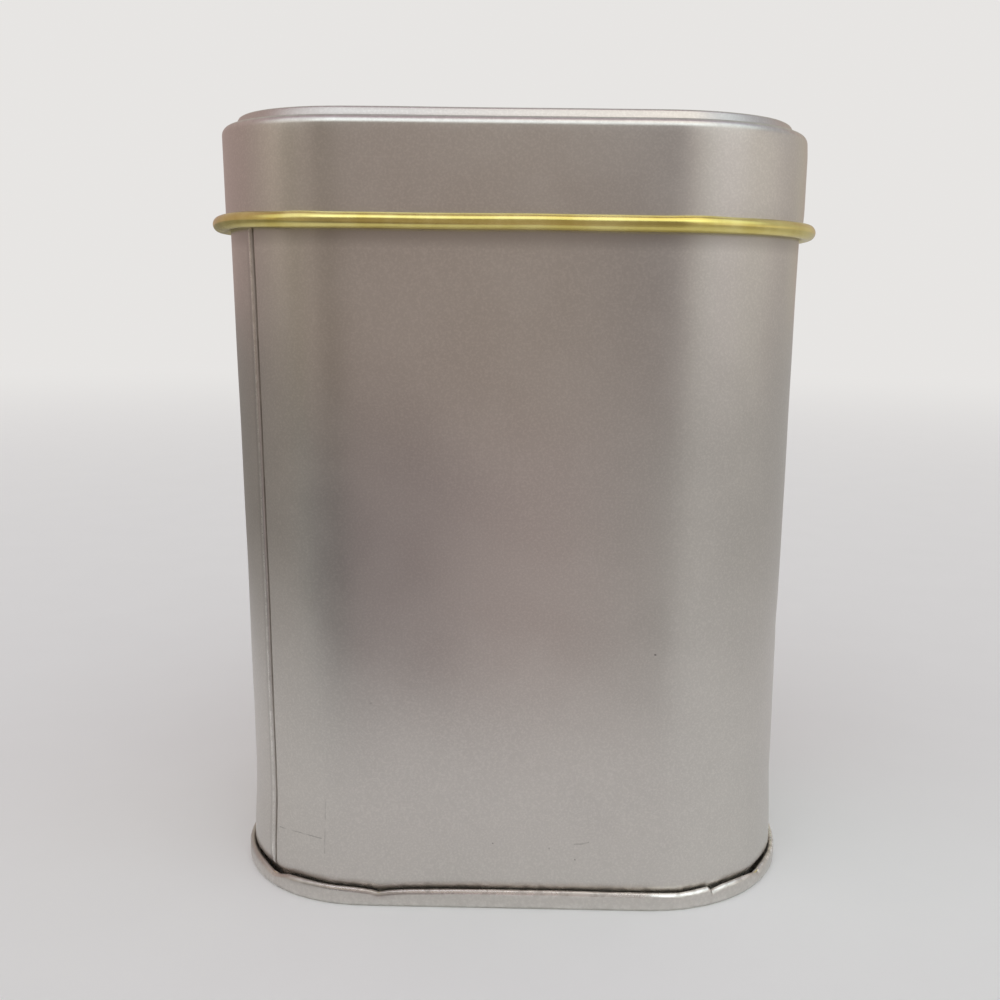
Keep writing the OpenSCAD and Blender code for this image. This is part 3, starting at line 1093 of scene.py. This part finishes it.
def make_cards():
    """The dim card in front, and a bright one overhead for the thin glints on bends."""
    points = [(x, CARD_Y, z) for z in CARD_Z for x in CARD_X]
    wide = len(CARD_X)
    faces = [(k, k + 1, k + wide + 1, k + wide) for k in range(len(points) - wide) if k % wide < wide - 1]
    glossy_card("card", points, faces, CARD_GLOW)
    azimuth, elevation, away, half, colour = OVERHEAD
    centre, up = Vector(toward(azimuth, elevation)) * away, Vector(toward(azimuth, elevation - 90))
    side = Vector(toward(azimuth + 90, 0))
    corners = [centre + half * (a * side + b * up) for a, b in ((-1, -1), (1, -1), (1, 1), (-1, 1))]
    glossy_card("overhead", corners, [(0, 1, 2, 3)], [colour])


def make_light():
    """Even studio light from all round, as soft patches on the world."""
    world = bpy.data.worlds.new("Soft studio")
    bpy.context.scene.world = world
    world.use_nodes = True
    tree = world.node_tree
    tree.nodes.clear()
    where = add(tree, "ShaderNodeTexCoord").outputs["Generated"]
    room = (*ROOM_GLOW, 1)
    for azimuth, elevation, outer, inner, colour in SOFT_LIGHTS:
        inputs = {0: where, 1: toward(azimuth, elevation)}
        facing = add(tree, "ShaderNodeVectorMath", inputs, operation="DOT_PRODUCT").outputs["Value"]
        share = between(tree, facing, math.cos(math.radians(outer)), math.cos(math.radians(inner)))
        room = mix(tree, share, room, (*colour, 1), blend="ADD")
    seen = add(tree, "ShaderNodeLightPath").outputs["Is Camera Ray"]
    glow = add(tree, "ShaderNodeBackground", {"Color": mix(tree, seen, room, (*BACKDROP, 1))})
    add(tree, "ShaderNodeOutputWorld", {"Surface": glow.outputs["Background"]})


# The camera: focal length and film width in mm, shifts, place right of the middle, in front of the wall's face
# and above the floor in metres, and pitch, yaw and roll in degrees
LENS, FILM = 39.92, 36
SHIFT = (-0.0622, 0.0393)
EYE_X, EYE_BEFORE, EYE_Z = 0.00865, 0.13762, 0.08177
PITCH_YAW_ROLL = (-12.479, -0.642, -0.784)


def make_camera(sizes):
    """The camera in front of the tin, a little above its lid's rolled edge and looking slightly down."""
    data = bpy.data.cameras.new("camera")
    data.lens, data.sensor_width = LENS, FILM
    data.shift_x, data.shift_y = SHIFT
    data.clip_start, data.clip_end = 0.01, 20
    camera = bpy.data.objects.new("camera", data)
    bpy.context.scene.collection.objects.link(camera)
    pitch, yaw, roll = (math.radians(angle) for angle in PITCH_YAW_ROLL)
    forward = Vector((math.sin(yaw) * math.cos(pitch), math.cos(yaw) * math.cos(pitch), math.sin(pitch)))
    right = Vector((math.cos(yaw), -math.sin(yaw), 0))
    down = forward.cross(right)
    across = math.cos(roll) * right + math.sin(roll) * down
    below = -math.sin(roll) * right + math.cos(roll) * down
    turned = Matrix((across, -below, -forward)).transposed().to_4x4()
    camera.matrix_world = Matrix.Translation((EYE_X, -sizes.body_d / 2 - EYE_BEFORE, EYE_Z)) @ turned
    bpy.context.scene.camera = camera


class TIN_OT_stage(bpy.types.Operator):
    """Adds the floor, the soft studio light and the camera"""

    bl_idname = "spice_tin.stage"
    bl_label = "Floor, light and camera"

    def execute(self, context):
        sizes, colours = tin_settings()
        bpy.context.scene.view_settings.view_transform = "Standard"
        make_floor(colours)
        make_cards()
        make_light()
        make_camera(sizes)
        return {"FINISHED"}


class TIN_PT_panel(bpy.types.Panel):
    """Sidebar panel with the tin's sizes, colours and pieces"""

    bl_idname = "TIN_PT_panel"
    bl_label = "Spice tin"
    bl_space_type = "VIEW_3D"
    bl_region_type = "UI"
    bl_category = "Spice tin"

    def draw(self, context):
        for group in (context.scene.spice_tin_sizes, context.scene.spice_tin_colours):
            column = self.layout.column(align=True)
            for name in group.__annotations__:
                column.prop(group, name)
        for operator in OPERATORS:
            self.layout.operator(operator.bl_idname)


OPERATORS = (TIN_OT_stage, TIN_OT_wall, TIN_OT_base, TIN_OT_lid, TIN_OT_rolled_edge)
CLASSES = (TinSizes, TinColours, *OPERATORS, TIN_PT_panel)


def register():
    for item in CLASSES:
        bpy.utils.register_class(item)
    bpy.types.Scene.spice_tin_sizes = bpy.props.PointerProperty(type=TinSizes)
    bpy.types.Scene.spice_tin_colours = bpy.props.PointerProperty(type=TinColours)


def unregister():
    del bpy.types.Scene.spice_tin_colours
    del bpy.types.Scene.spice_tin_sizes
    for item in reversed(CLASSES):
        bpy.utils.unregister_class(item)


def main():
    register()
    bpy.ops.spice_tin.stage()
    bpy.ops.spice_tin.wall()
    bpy.ops.spice_tin.base()
    bpy.ops.spice_tin.lid()
    bpy.ops.spice_tin.rolled_edge()


if __name__ == "__main__":
    main()
